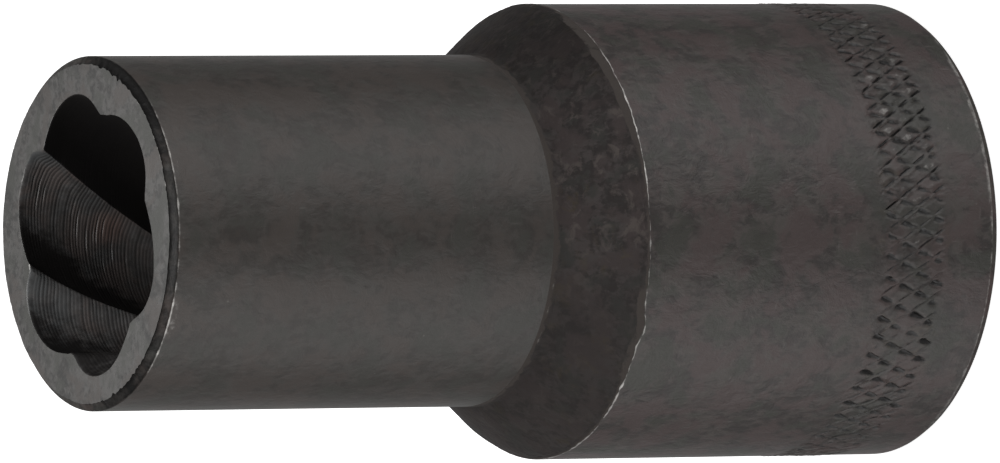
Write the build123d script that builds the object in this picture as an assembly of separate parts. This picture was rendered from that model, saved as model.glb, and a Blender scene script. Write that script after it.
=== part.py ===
from build123d import *
import os
from math import cos, radians, sin, tan

# One-piece screw extractor socket, turned from a forged steel bar.
# Millimetres. Origin at the centre of the drive end face, +Z along the axis
# towards the fluted mouth. The camera side of the object is -Y.

# ---- outside ----
length = 50.4            # drive end face to mouth face
body_d = 25.0            # large drive end
nose_root_d = 19.17      # nose where it meets the shoulder
nose_tip_d = 18.98       # nose at the mouth, a slight forging draft
end_chamfer_z = 0.44     # chamfer round the drive end, along the axis
end_chamfer_r = 0.27     # and across it
mouth_chamfer = 0.36     # 45 degree chamfer round the mouth
rim_z = 22.48            # sharp rim where the cylinder meets the shoulder
shoulder_mid_z = 24.31   # the shoulder is a slightly domed cone
shoulder_mid_r = 11.30
nose_root_z = 26.2
root_fillet = 0.6        # soft fillet at the foot of the nose

# ---- fluted mouth ----
flutes = 6
flute_depth = 17.0       # length of the fluted, tapered bore
ridge_r = 6.55           # radius at a ridge, at the mouth face
taper = 0.12             # radius lost per mm of depth, at a ridge
lead_deg = 6.3           # twist per mm of depth, left hand
ridge_start = 15.0       # first ridge at the mouth, degrees from -Y towards +X
# radius of one flute against the angle from its leading ridge
flute_section = [
    (0.0, 6.55), (5.0, 6.88), (10.0, 7.20), (15.0, 7.42), (20.0, 7.545),
    (26.0, 7.59), (32.0, 7.54), (38.0, 7.42), (44.0, 7.235), (50.0, 6.98),
    (55.0, 6.76), (60.0, 6.55),
]

# ---- neck between the mouth and the drive recess ----
neck_d = 9.0             # through hole
pilot_d = 12.6           # drilled relief below the broached square
pilot_depth = 17.2
pilot_cone = 120.0       # included angle of the drilled bottom

# ---- half inch square drive recess ----
square = 12.8            # across flats
square_corner = 0.9      # corner radius
square_depth = 15.8
lead_in_d = 18.7         # countersink that guides the drive in
lead_in_cone = 118.0     # its included angle
detent_z = 8.0           # height of the four ball recesses
detent_ball_r = 2.4
detent_depth = 1.1


def outside():
    rim_r = body_d / 2
    root_r = nose_root_d / 2
    tip_r = nose_tip_d / 2
    with BuildPart() as body:
        with BuildSketch(Plane.XZ):
            with BuildLine():
                Polyline(
                    (0, 0),
                    (rim_r - end_chamfer_r, 0),
                    (rim_r, end_chamfer_z),
                    (rim_r, rim_z),
                )
                ThreePointArc(
                    (rim_r, rim_z),
                    (shoulder_mid_r, shoulder_mid_z),
                    (root_r, nose_root_z),
                )
                Polyline(
                    (root_r, nose_root_z),
                    (tip_r, length - mouth_chamfer),
                    (tip_r - mouth_chamfer, length),
                    (0, length),
                    (0, 0),
                )
            make_face()
        revolve(axis=Axis.Z)
        root = body.edges().filter_by(GeomType.CIRCLE).filter_by(
            lambda e: abs(e.center().Z - nose_root_z) < 0.01 and abs(e.radius - root_r) < 0.01
        )
        fillet(root, radius=root_fillet)
    return body.part


def flute_wire(depth):
    # one closed section of the fluted bore, turned and scaled for its depth
    scale = 1.0 - taper * depth / ridge_r
    turn = ridge_start + lead_deg * depth - 90.0
    z = length - depth
    edges = []
    for i in range(flutes):
        points = []
        for angle, r in flute_section:
            a = radians(turn + i * 360.0 / flutes + angle)
            points.append(Vector(scale * r * cos(a), scale * r * sin(a), z))
        edges.append(Edge.make_spline(points))
    return Wire(edges)


def fluted_bore():
    steps = 10
    start = -1.0
    sections = []
    for i in range(steps + 1):
        sections.append(flute_wire(start + (flute_depth - start) * i / steps))
    return Solid.make_loft(sections)


def neck_and_pilot():
    neck = Cylinder(neck_d / 2, length - 2, align=(Align.CENTER, Align.CENTER, Align.MIN))
    pilot = Cylinder(pilot_d / 2, pilot_depth + 1, align=(Align.CENTER, Align.CENTER, Align.MIN))
    pilot = Pos(0, 0, -1) * pilot
    drop = (pilot_d - neck_d) / 2 / tan(radians(pilot_cone / 2))
    tip = Cone(pilot_d / 2, neck_d / 2, drop, align=(Align.CENTER, Align.CENTER, Align.MIN))
    return [neck, pilot, Pos(0, 0, pilot_depth) * tip]


def drive_recess():
    # broached square, the countersink round its mouth and the four ball recesses
    with BuildPart() as recess:
        with BuildSketch(Plane.XY.offset(-1)):
            RectangleRounded(square, square, square_corner)
        extrude(amount=square_depth + 1)
    half = radians(lead_in_cone / 2)
    wide = lead_in_d / 2 + 1.0 * tan(half)
    narrow = 3.0
    cone_h = (wide - narrow) / tan(half)
    lead_in = Cone(wide, narrow, cone_h, align=(Align.CENTER, Align.CENTER, Align.MIN))
    cuts = [recess.part, Pos(0, 0, -1) * lead_in]
    ball_centre = square / 2 - (detent_ball_r - detent_depth)
    for i in range(4):
        # each ball's poles point into the wall, so its seam stays clear of the flat
        ball = Pos(ball_centre, 0, detent_z) * Rot(0, 90, 0) * Sphere(detent_ball_r)
        cuts.append(Rot(0, 0, 90 * i) * ball)
    return cuts


def extractor_socket():
    solid = outside()
    for cut in neck_and_pilot() + drive_recess() + [fluted_bore()]:
        before = solid.volume
        solid = solid - cut
        print("cut mm3", round(before - solid.volume, 1), solid.is_valid)
    return solid


part = extractor_socket()
if len(part.solids()) == 1:
    part = part.solids()[0]

os.makedirs("parts", exist_ok=True)
export_step(part, "parts/extractor_socket.step")
print("volume mm3", round(part.volume, 1))
print("box", part.bounding_box())
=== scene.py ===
import math

import bpy
import numpy as np
from mathutils import Matrix, Vector


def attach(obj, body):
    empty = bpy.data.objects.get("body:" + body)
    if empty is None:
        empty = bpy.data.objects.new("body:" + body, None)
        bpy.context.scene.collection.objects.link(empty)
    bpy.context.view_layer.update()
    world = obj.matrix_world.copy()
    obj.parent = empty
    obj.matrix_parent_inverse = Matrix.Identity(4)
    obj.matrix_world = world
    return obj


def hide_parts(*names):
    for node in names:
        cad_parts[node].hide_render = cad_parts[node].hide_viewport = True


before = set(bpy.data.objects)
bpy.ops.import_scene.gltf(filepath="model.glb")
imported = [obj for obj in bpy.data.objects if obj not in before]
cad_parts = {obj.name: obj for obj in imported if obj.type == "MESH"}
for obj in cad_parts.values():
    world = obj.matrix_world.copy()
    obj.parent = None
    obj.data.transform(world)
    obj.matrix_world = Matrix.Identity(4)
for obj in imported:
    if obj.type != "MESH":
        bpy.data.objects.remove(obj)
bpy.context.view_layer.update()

RNG = np.random.RandomState

# ------------------------------------------------------------------ sizes, mm
LENGTH = 50.4
BODY_R = 12.5
NOSE_ROOT_R, NOSE_TIP_R = 9.585, 9.49
NOSE_ROOT_Z = 26.2
RIM_Z = 22.48
SHOULDER_MID = (11.30, 24.31)
ROOT_FILLET = 0.34
MOUTH_CHAMFER = 0.36
END_Z, END_R = 0.44, 0.27  # drive end chamfer along the axis and across it

FLUTES = 6
FLUTE_DEPTH = 17.0
RIDGE_R = 6.55
TAPER = 0.12
LEAD_DEG = 6.3
RIDGE_START = 15.0
SECTION = [(0.0, 6.55), (5.0, 6.88), (10.0, 7.20), (15.0, 7.42), (20.0, 7.545), (26.0, 7.59), (32.0, 7.54),
           (38.0, 7.42), (44.0, 7.235), (50.0, 6.98), (55.0, 6.76), (60.0, 6.55)]
RIB_PITCH = 0.185         # feed marks of the cutter in the flutes
RIB_DEPTH = 0.022
RIB_END = 8.2             # deeper down the marks are too faint to see
# the hole sits a little off the axis, and its ridges are blunt or chipped at the mouth: radius against degrees
HOLE_OFF, HOLE_OFF_DEG = 0.075, -43.3
HOLE_CHIPS = [(3, -0.04), (8, 0), (15, 0.08), (18, 0), (66, 0), (69, -0.05), (75, 0.04), (78, 0), (123, -0.05),
              (130, -0.05), (135, -0.09), (138.5, -0.04), (141, 0.15), (144, 0.20), (147.5, 0.05), (153, 0.03),
              (156, -0.11), (159, -0.06), (162, 0), (186, -0.04), (190, -0.05), (194, -0.09), (198, -0.34),
              (200.5, -0.20), (204, -0.04), (207, 0), (250, 0), (254, 0.05), (258, -0.18), (261, -0.11), (266, -0.04),
              (270, 0), (306, 0.02), (310, 0.08), (315, 0.08), (318, 0), (343, 0), (347, -0.08), (357, -0.09)]

NECK_R = 4.5
PILOT_R, PILOT_Z, PILOT_TOP = 6.3, 17.2, 18.239
SQUARE, CORNER, SQUARE_Z = 12.8, 0.9, 15.8
LEAD_R, LEAD_SLOPE = 9.35, 1.6643
DETENT_Z, DETENT_R, DETENT_X = 8.0, 2.4, 5.1

KNURL_N = 68              # grooves round the band, each way
KNURL_S = (42.78, 46.93)  # from the mouth face
KNURL_PA, KNURL_PB = 1.790, 2.530    # axial pitch of each family
KNURL_UA, KNURL_VB = -0.090, 0.886   # where the grooves of each family lie

# region numbers, one material each
BODY, FACE, SHOULDER, BORE, EDGE, KNURL, INNER, NOSE = range(8)


# ------------------------------------------------------------------ small helpers
def smooth(x):
    x = np.clip(x, 0.0, 1.0)
    return x * x * (3 - 2 * x)


def ring_noise(n, seed, waves, rough=0.6):
    """Periodic noise of n samples, about -1 to 1, made of the first few waves round the ring."""
    rs = RNG(seed)
    t = np.arange(n) / n * 2 * np.pi
    out = np.zeros(n)
    for k in range(1, waves + 1):
        amp = rs.normal() * (1.0 / k) ** rough
        out += amp * np.cos(k * t + rs.uniform(0, 2 * np.pi))
    return out / (np.abs(out).max() + 1e-9)


def at_angles(xs, ys, ang):
    """Periodic linear interpolation of control points given in degrees."""
    xs, ys = np.array(xs, float), np.array(ys, float)
    x3 = np.concatenate([xs - 360, xs, xs + 360])
    y3 = np.concatenate([ys, ys, ys])
    return np.interp(((ang + 180) % 360) - 180, x3, y3)


def spline_coeffs(x, y):
    n = len(x)
    h = np.diff(x)
    a = np.zeros((n, n))
    b = np.zeros(n)
    a[0, 0] = a[-1, -1] = 1
    for i in range(1, n - 1):
        a[i, i - 1], a[i, i], a[i, i + 1] = h[i - 1], 2 * (h[i - 1] + h[i]), h[i]
        b[i] = 3 * ((y[i + 1] - y[i]) / h[i] - (y[i] - y[i - 1]) / h[i - 1])
    c = np.linalg.solve(a, b)
    bb = np.diff(y) / h - h * (2 * c[:-1] + c[1:]) / 3
    dd = np.diff(c) / (3 * h)
    return x, y, bb, c, dd


_SX = np.array([p[0] for p in SECTION])
_SY = np.array([p[1] for p in SECTION])
_SPL = spline_coeffs(_SX, _SY)


def section_r(rel):
    """Radius of the fluted section at the mouth against degrees after a ridge."""
    rel = np.mod(rel, 60.0)
    x, y, b, c, d = _SPL
    i = np.clip(np.searchsorted(x, rel, side="right") - 1, 0, len(x) - 2)
    t = rel - x[i]
    return y[i] + b[i] * t + c[i] * t ** 2 + d[i] * t ** 3


class Build:
    """Collects the rings of one closed surface of revolution with detail."""

    def __init__(self):
        self.co, self.faces, self.mats, self.attr = [], [], [], {"wear_and_sheen": [], "pit": [], "scale": []}
        self.count = 0

    def ring(self, ang, r, z, wear_and_sheen=0.0, pit=0.0, scale=0.0):
        """ang in radians, rising; r and z scalars or arrays. Returns (indices, angles)."""
        n = len(ang)
        r = np.broadcast_to(r, (n,))
        z = np.broadcast_to(z, (n,))
        co = np.stack([r * np.cos(ang), r * np.sin(ang), z], 1)
        self.co.append(co)
        self.attr["wear_and_sheen"].append(np.broadcast_to(wear_and_sheen, (n,)).astype(float))
        self.attr["pit"].append(np.broadcast_to(pit, (n,)).astype(float))
        self.attr["scale"].append(np.broadcast_to(scale, (n,)).astype(float))
        idx = np.arange(self.count, self.count + n)
        self.count += n
        return idx, np.array(ang, float)

    def quads(self, a, b, mat):
        ia, ib = a[0], b[0]
        for k in range(len(ia)):
            k2 = (k + 1) % len(ia)
            self.faces.append((ia[k], ib[k], ib[k2], ia[k2]))
            self.mats.append(mat)

    def bridge(self, a, b, mat):
        """Joins two rings that have different counts or angles."""
        ia, aa = a
        ib, ab = b
        tau = 2 * np.pi
        na, nb = len(ia), len(ib)
        d = (ab - aa[0] + np.pi) % tau - np.pi
        j0 = int(np.argmin(np.abs(d)))
        ua = aa[0] + np.concatenate([[0], np.cumsum((np.roll(aa, -1) - aa) % tau)])
        start = aa[0] + d[j0]
        rb = np.roll(ab, -j0)
        ub = start + np.concatenate([[0], np.cumsum((np.roll(rb, -1) - rb) % tau)])
        ib = np.roll(ib, -j0)
        i = j = 0
        while i < na or j < nb:
            take_a = j >= nb or (i < na and ua[i + 1] + ua[i] < ub[j + 1] + ub[j])
            if take_a:
                self.faces.append((ia[i % na], ib[j % nb], ia[(i + 1) % na]))
                i += 1
            else:
                self.faces.append((ia[i % na], ib[j % nb], ib[(j + 1) % nb]))
                j += 1
            self.mats.append(mat)

    def join(self, a, b, mat):
        if len(a[0]) == len(b[0]):
            self.quads(a, b, mat)
        else:
            self.bridge(a, b, mat)
        return b


def circle(n, offset=0.0):
    return (np.arange(n) + offset) / n * 2 * np.pi


# ------------------------------------------------------------------ the extractor
def build_extractor():
    B = Build()

    # ---- fluted bore, from its foot up to the mouth. Columns follow the helix, rows follow the feed marks
    rel = np.array([0, 1.3, 2.8, 4.6, 6.6, 9, 11.6, 14.4, 17.2, 20, 22.8, 25.6, 28.4, 31.2, 34, 36.8, 39.6, 42.4,
                    45.2, 48, 50.8, 53.4, 55.8, 58])
    cols = np.concatenate([rel + 60 * i for i in range(FLUTES)])
    n_cols = len(cols)
    mouth_deg = cols + RIDGE_START
    chips = at_angles([q[0] for q in HOLE_CHIPS], [q[1] for q in HOLE_CHIPS], mouth_deg)
    rs = RNG(11)
    edges = [0.16]
    while edges[-1] < RIB_END:
        edges.append(edges[-1] + RIB_PITCH * (1 + 0.14 * rs.uniform(-1, 1)))
    depths, cut, marks = [0.07], [0.0], [0]
    for k in range(len(edges) - 1):
        w = edges[k + 1] - edges[k]
        size = RIB_DEPTH * (1 + 0.45 * rs.uniform(-1, 1))
        for f, g in ((0.0, 0.0), (0.34, 0.30), (0.62, 0.80), (0.80, 1.0)):
            depths.append(edges[k] + f * w)
            cut.append(g * size)
            marks.append(k)
    for d in np.linspace(edges[-1] + 0.1, FLUTE_DEPTH, 16):
        depths.append(d)
        cut.append(0.0)
        marks.append(0)
    depths, cut, marks = np.array(depths), np.array(cut), np.array(marks)
    order = np.argsort(-depths)
    # each mark is deeper in some places than in others
    gains = [np.clip(0.85 + 0.75 * ring_noise(n_cols, 500 + k, 22, 0.15), 0.15, 1.6) for k in range(len(edges))]

    def hole_radius(d):
        fixed = np.radians(mouth_deg + LEAD_DEG * d - HOLE_OFF_DEG)
        keep = 0.35 + 0.65 * math.exp(-(d / 1.0) ** 2)
        return section_r(cols) * (1 - TAPER * d / RIDGE_R) + HOLE_OFF * np.cos(fixed) * min(1.0, (FLUTE_DEPTH - d) / 4) + chips * keep * min(1.0, (FLUTE_DEPTH - d) / 4)

    # painted shade: the colour is darker, down to near black, in the flutes and parts of flutes that lie in shade,
    # darker just below the mouth and near the mouth in one flute's lower part; the feed marks fade there too
    shade = at_angles([16, 74, 77, 133, 136.5, 156, 172, 184, 194, 197, 224, 242, 254, 257, 312, 318],
                      [1, 1, 0.0, 0.0, 1, 1, 0.64, 0.32, 0.12, 0.88, 0.42, 0.05, 0.0, 0.35, 0.4, 1], mouth_deg)
    mouth_shade = at_angles([164, 176, 193, 196], [0, 1, 1, 0], mouth_deg)
    prev = foot = None
    for i in order:
        d = depths[i]
        ang = np.radians(mouth_deg + LEAD_DEG * d - 90.0)
        fade = smooth((d - 0.04) / 0.32)
        fade *= 1 - 0.75 * smooth((d - RIB_END + 2.5) / 2.5)
        painted_shade = shade * (0.72 + 0.28 * smooth(d / 0.6)) * (1 - 0.36 * mouth_shade * (1 - smooth((d - 2.4) / 2.2)))
        fade = fade * (0.12 + 0.88 * np.maximum(shade * (1 - 0.5 * mouth_shade), painted_shade))
        r = hole_radius(d) + cut[i] * fade * gains[marks[i]]
        # the scale attribute carries this painted shade into the bore's colour
        ring = B.ring(ang, r, LENGTH - d, pit=cut[i] / RIB_DEPTH * fade, scale=painted_shade)
        if prev is None:
            foot = ring
        else:
            B.quads(prev, ring, BORE)
        prev = ring
    # the edge of the hole: barely rounded, with a burr left here and there
    ang = np.radians(mouth_deg - 90.0)
    nick = 0.02 * np.abs(ring_noise(n_cols, 21, 70, 0.0)) ** 2
    burr = at_angles([-30, -18, -10, 20, 48, 60, 66, 74, 80, 108, 113, 119, 126, 146, 152, 158, 164, 190, 195, 199, 204, 222, 228, 236, 244, 300, 316, 326],
                     [0.10, 0.30, 0.05, 0.05, 0.10, 0.45, 0.30, 0.40, 0.05, 0.10, 0.45, 0.40, 0.05, 0.10, 0.35, 0.40, 0.05, 0.05, 0.55, 0.45, 0.05, 0.10, 0.30, 0.25, 0.05, 0.05, 0.25, 0.05], mouth_deg)
    burr = burr * (0.6 + 0.4 * ring_noise(n_cols, 22, 70, 0.05))
    hole = hole_radius(0.0)
    e0 = B.ring(ang, hole + 0.02 + nick, LENGTH - 0.016, wear_and_sheen=0.8 * burr, scale=shade)
    e0 = B.join(prev, e0, BORE)
    e1 = B.ring(ang, hole + 0.055 + nick, LENGTH, wear_and_sheen=burr)
    e1 = B.join(e0, e1, FACE)
    e2 = B.ring(ang, hole + 0.16 + nick, LENGTH, wear_and_sheen=0.0)
    prev = B.join(e1, e2, FACE)
    # ---- the flat mouth face
    for t in (0.28, 0.55, 0.8):
        r = (hole + 0.18) * (1 - t) + 8.85 * t
        prev = B.join(prev, B.ring(ang, r, LENGTH), FACE)
    prev = B.join(prev, B.ring(circle(240), 8.72, LENGTH), FACE)
    # ragged inner edge of the mouth chamfer
    n = 480
    th = circle(n)
    phi = ((np.degrees(th) + 90.0 + 180.0) % 360.0) - 180.0   # from -Y towards +X
    rag = 0.5 + 0.5 * ring_noise(n, 31, 150, 0.0) + 0.15 * ring_noise(n, 39, 230, -0.2)
    wave = 0.5 + 0.5 * ring_noise(n, 36, 30, 0.2)
    burst = at_angles([-180, -90, -68, -58, -50, -44, -34, -10, 20, 48, 60, 70, 80, 92, 120],
                      [0.2, 0.25, 0.35, 0.8, 1.0, 0.7, 0.3, 0.25, 0.3, 0.4, 0.9, 1.0, 0.8, 0.3, 0.2], phi)
    rag = 0.01 + 0.05 * wave + 0.26 * np.clip(rag, 0, 1) ** 2.0 * burst
    # the deepest tears: where, how wide, how deep
    for at, half, deep in [(79, 1.6, 0.20), (74, 1.0, 0.13), (70, 1.7, 0.27), (66.5, 0.8, 0.12), (62.5, 1.5, 0.22), (58, 1.2, 0.15), (52, 0.9, 0.10),
                           (-49, 0.9, 0.10), (-53, 1.6, 0.20), (-56.5, 1.0, 0.22), (-61, 1.4, 0.12), (-66, 1.5, 0.18), (-71, 1.6, 0.22), (-79, 1.2, 0.12)]:
        gap = np.abs((phi - at + 180) % 360 - 180)
        rag = np.maximum(rag, deep * np.clip(1.25 * (1 - gap / half), 0, 1) * (0.85 + 0.15 * ring_noise(n, 40, 230, -0.2)))
    # painted shade on the chamfer: its colour is darkened by angle round the mouth, most near 58 to 74 degrees
    chamfer_shade = at_angles([-105, -85, -72, -55, -45, -25, -15, -5, 5, 20, 40, 50, 58, 66, 74, 85, 105, 150],
                      [0.9, 0.6, 0.38, 0.40, 0.46, 0.52, 0.50, 0.42, 0.42, 0.46, 0.40, 0.30, 0.16, 0.10, 0.15, 0.40, 0.8, 0.8], phi)
    tip = NOSE_TIP_R - MOUTH_CHAMFER
    prev = B.join(prev, B.ring(th, tip - rag - 0.07, LENGTH, wear_and_sheen=0.0), FACE)
    fringe = at_angles([-180, -60, -40, -20, 0, 10, 25, 45, 60, 75, 100], [0.14, 0.22, 0.20, 0.16, 0.22, 0.34, 0.36, 0.30, 0.22, 0.16, 0.14], phi)
    prev = B.join(prev, B.ring(th, tip - rag, LENGTH, wear_and_sheen=1.5 * fringe * (0.7 + 0.6 * ring_noise(n, 38, 200, 0.0))), FACE)
    lip = 0.018 + 0.03 * (0.5 + 0.5 * ring_noise(n, 33, 120, 0.2)) ** 2
    torn = rag / 0.25
    prev = B.join(prev, B.ring(th, tip - rag + 0.02, LENGTH - 0.045 - 0.03 * torn, scale=chamfer_shade), EDGE)
    prev = B.join(prev, B.ring(th, tip - rag * 0.55 + 0.08, LENGTH - 0.125 - 0.05 * torn + 0.02 * ring_noise(n, 34, 150, 0.1), scale=chamfer_shade), EDGE)
    prev = B.join(prev, B.ring(th, tip - rag * 0.15 + 0.20, LENGTH - 0.225 - 0.03 * torn + 0.012 * ring_noise(n, 37, 150, 0.1), scale=chamfer_shade), EDGE)
    line = (0.5 + 0.5 * ring_noise(n, 35, 90, 0.2)) ** 1.2
    # bare metal rubbed at the mouth's outer edge, partly a painted highlight: set by angle, strongest where the edge
    # catches the light
    mouth_wear_and_sheen = at_angles([-180, -70, -52, -44, -36, -31, -24, -16, -6, 4, 12, 22, 34, 46, 54, 70, 100],
                        [0.3, 0.15, 0.40, 0.75, 0.65, 0.95, 0.85, 0.60, 0.50, 0.75, 0.70, 0.78, 0.68, 0.50, 0.30, 0.12, 0.2], phi)
    prev = B.join(prev, B.ring(th, NOSE_TIP_R - lip - 0.045, LENGTH - MOUTH_CHAMFER + lip + 0.045, scale=chamfer_shade), EDGE)
    prev = B.join(prev, B.ring(th, NOSE_TIP_R - lip, LENGTH - MOUTH_CHAMFER + lip, wear_and_sheen=0.05 + 0.38 * mouth_wear_and_sheen * line, scale=chamfer_shade), EDGE)
    prev = B.join(prev, B.ring(th, NOSE_TIP_R, LENGTH - MOUTH_CHAMFER - lip * 0.9, wear_and_sheen=mouth_wear_and_sheen * (0.42 + 0.65 * line), scale=1.0), EDGE)

    # ---- nose
    def nose_r(z):
        return NOSE_TIP_R + (NOSE_ROOT_R - NOSE_TIP_R) * (LENGTH - MOUTH_CHAMFER - z) / (LENGTH - MOUTH_CHAMFER - NOSE_ROOT_Z)

    z = LENGTH - MOUTH_CHAMFER - 0.13
    # a broad painted highlight, flecked with bare metal, on the nose below the edge
    prev = B.join(prev, B.ring(th, nose_r(z), z, wear_and_sheen=0.50 * mouth_wear_and_sheen * (0.45 + 0.55 * line)), NOSE)
    prev = B.join(prev, B.ring(circle(240), nose_r(49.65), 49.65, wear_and_sheen=0.34 * mouth_wear_and_sheen[::2]), NOSE)
    for z in (49.2, 46.0, 42.0, 38.0, 34.0, 30.0, 28.6):
        prev = B.join(prev, B.ring(circle(120), nose_r(z), z), NOSE)

    # ---- foot fillet and the domed shoulder
    p1, p2, p3 = (BODY_R, RIM_Z), SHOULDER_MID, (NOSE_ROOT_R, NOSE_ROOT_Z)
    A = np.array([[2 * (p2[0] - p1[0]), 2 * (p2[1] - p1[1])], [2 * (p3[0] - p1[0]), 2 * (p3[1] - p1[1])]])
    rhs = np.array([p2[0] ** 2 + p2[1] ** 2 - p1[0] ** 2 - p1[1] ** 2, p3[0] ** 2 + p3[1] ** 2 - p1[0] ** 2 - p1[1] ** 2])
    dome_c = np.linalg.solve(A, rhs)
    dome_r = math.hypot(p1[0] - dome_c[0], p1[1] - dome_c[1])
    # centre of the fillet: its radius off the nose and off the dome
    fc = None
    for z in np.linspace(NOSE_ROOT_Z - 1, NOSE_ROOT_Z + 3, 8001):
        r = nose_r(z) + ROOT_FILLET
        if math.hypot(r - dome_c[0], z - dome_c[1]) >= dome_r + ROOT_FILLET:
            fc = (r, z)
            break
    to_dome = math.atan2(dome_c[1] - fc[1], dome_c[0] - fc[0])
    start = math.pi
    end = to_dome % (2 * math.pi)

    def rim_shift(phi):
        """How far the rim wanders along the axis, with one dent."""
        out = 0.18 * np.sin(np.radians(phi)) + 0.017 * np.cos(np.radians(phi))
        return out + at_angles([-180, -60, -34, -29.6, -27.5, -25.6, -23.4, -20.5, -17, 36, 40, 43, 46.5, 50, 53, 120],
                               [0, 0, 0.02, -0.02, -0.16, -0.26, -0.20, -0.05, 0.02, 0, -0.03, 0.05, -0.04, 0.04, 0, 0], phi)

    def dome_point(z, shift=0.0):
        """Radius of the domed shoulder at height z, where the rim is shifted."""
        k = np.clip((26.05 - z) / (26.05 - 22.68), 0, 1)
        return dome_c[0] + np.sqrt(np.maximum(dome_r ** 2 - (z - shift * k - dome_c[1]) ** 2, 0))

    th240 = circle(240)
    phi240 = ((np.degrees(th240) + 90.0 + 180.0) % 360.0) - 180.0
    soft = 0.012 * ring_noise(240, 41, 24, 0.3)
    foot_line = 0.05 * ring_noise(240, 43, 60, 0.35) + 0.05 * ring_noise(240, 44, 14, 0.3)
    ragged = 0.55 * ring_noise(240, 45, 90, 0.10) + 0.45 * ring_noise(240, 46, 26, 0.2)
    rubbed = at_angles([-180, -85, -60, -35, -14, -4, 4, 12, 24, 34, 48, 90], [0.1, 0.20, 0.27, 0.27, 0.26, 0.18, 0.20, 0.26, 0.24, 0.12, 0.05, 0.1], phi240)
    rubbed = rubbed * (0.85 + 0.35 * ring_noise(240, 47, 90, 0.1))
    prev = B.join(prev, B.ring(th240, nose_r(fc[1] + 0.9), fc[1] + 0.9), NOSE)
    prev = B.join(prev, B.ring(th240, nose_r(fc[1] + 0.52), fc[1] + 0.52), NOSE)
    prev = B.join(prev, B.ring(th240, nose_r(fc[1] + 0.40), fc[1] + 0.40, wear_and_sheen=0.5 * rubbed, scale=0.10 + 0.35 * ragged), SHOULDER)
    prev = B.join(prev, B.ring(th240, nose_r(fc[1] + 0.28), fc[1] + 0.28 + 0.5 * foot_line, wear_and_sheen=rubbed, scale=0.32 + 0.75 * ragged), SHOULDER)
    prev = B.join(prev, B.ring(th240, nose_r(fc[1] + 0.14), fc[1] + 0.14 + 0.5 * foot_line, wear_and_sheen=0.6 * rubbed, scale=0.60 + 0.75 * ragged), SHOULDER)
    for k in range(6):
        t = start + (end - start) * k / 5
        r = fc[0] + ROOT_FILLET * math.cos(t)
        z = fc[1] + ROOT_FILLET * math.sin(t)
        shift_k = (soft + foot_line * (0.5, 0.7, 0.8, 0.6, 0.3, 0.1)[k]) * (k > 0)
        prev = B.join(prev, B.ring(th240, r + 0.3 * shift_k, z + shift_k, wear_and_sheen=0.05, scale=(0.85, 0.95, 1.0, 1.0, 1.0, 1.0)[k]), SHOULDER)
    z_top = z - 0.12
    # forged skin: low waves, a few hundredths of a millimetre
    rows = 16
    skin = RNG(51).normal(size=(rows, 240))
    f = np.fft.rfft2(skin)
    ky = np.abs(np.fft.fftfreq(rows))[:, None]
    kx = np.arange(f.shape[1])[None, :] / 240
    f *= np.exp(-((ky / 0.25) ** 2) - ((kx / 0.11) ** 2))
    skin = np.fft.irfft2(f, s=(rows, 240))
    skin /= np.abs(skin).max()
    # the facet is flat and light in two stretches and fades into the dome elsewhere
    flat240 = at_angles([-180, -75, -60, -45, -35, -20, -12, 0, 8, 18, 32, 45, 58, 75, 120], [0, 0, 0, 0.05, 0.5, 0.8, 0.3, 0, 0.05, 0.35, 1.0, 1.0, 0.85, 0.25, 0], phi240)
    facet240 = 0.34 + 0.08 * ring_noise(240, 62, 24, 0.3) + 0.22 * flat240 + at_angles([-180, 22, 40, 52, 60, 72, 84], [0, 0, 0.06, 0.20, 0.16, 0.02, 0], phi240)
    slope240 = 0.14 + 0.36 * (1 - flat240)      # slope of the narrow facet above the rim
    z_low = RIM_Z + rim_shift(phi240) + facet240 + 0.05
    r_low = BODY_R - slope240 * facet240 - 0.035 - 0.035
    bulge = r_low - dome_point(z_low, rim_shift(phi240))
    for k in range(rows):
        t = k / (rows - 1)
        z = z_top + (z_low - z_top) * t
        rr = dome_point(z, rim_shift(phi240)) + bulge * t ** 2 + 0.020 * skin[k] * smooth((k + 0.5) / 2.5) * smooth((rows - 1 - k) / 2.5)
        prev = B.join(prev, B.ring(th240, rr, z + 0.3 * 0.02 * skin[k] * smooth((rows - 1 - k) / 2.5), scale=1.0), SHOULDER)

    # ---- the rim: its line wanders, with one dent, and it is rubbed bright in places, partly a painted highlight that is stronger at some angles round it
    n = 680
    th = circle(n)
    phi = ((np.degrees(th) + 90.0 + 180.0) % 360.0) - 180.0   # from -Y towards +X
    shift = rim_shift(phi)
    rim = RIM_Z + shift + 0.034 * ring_noise(n, 61, 60, 0.3) + 0.048 * ring_noise(n, 67, 170, 0.0)
    width = np.interp(phi, phi240[np.argsort(phi240)], facet240[np.argsort(phi240)])
    bevel = 0.026 + 0.086 * (0.5 + 0.5 * ring_noise(n, 63, 110, 0.15)) ** 1.9
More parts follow.
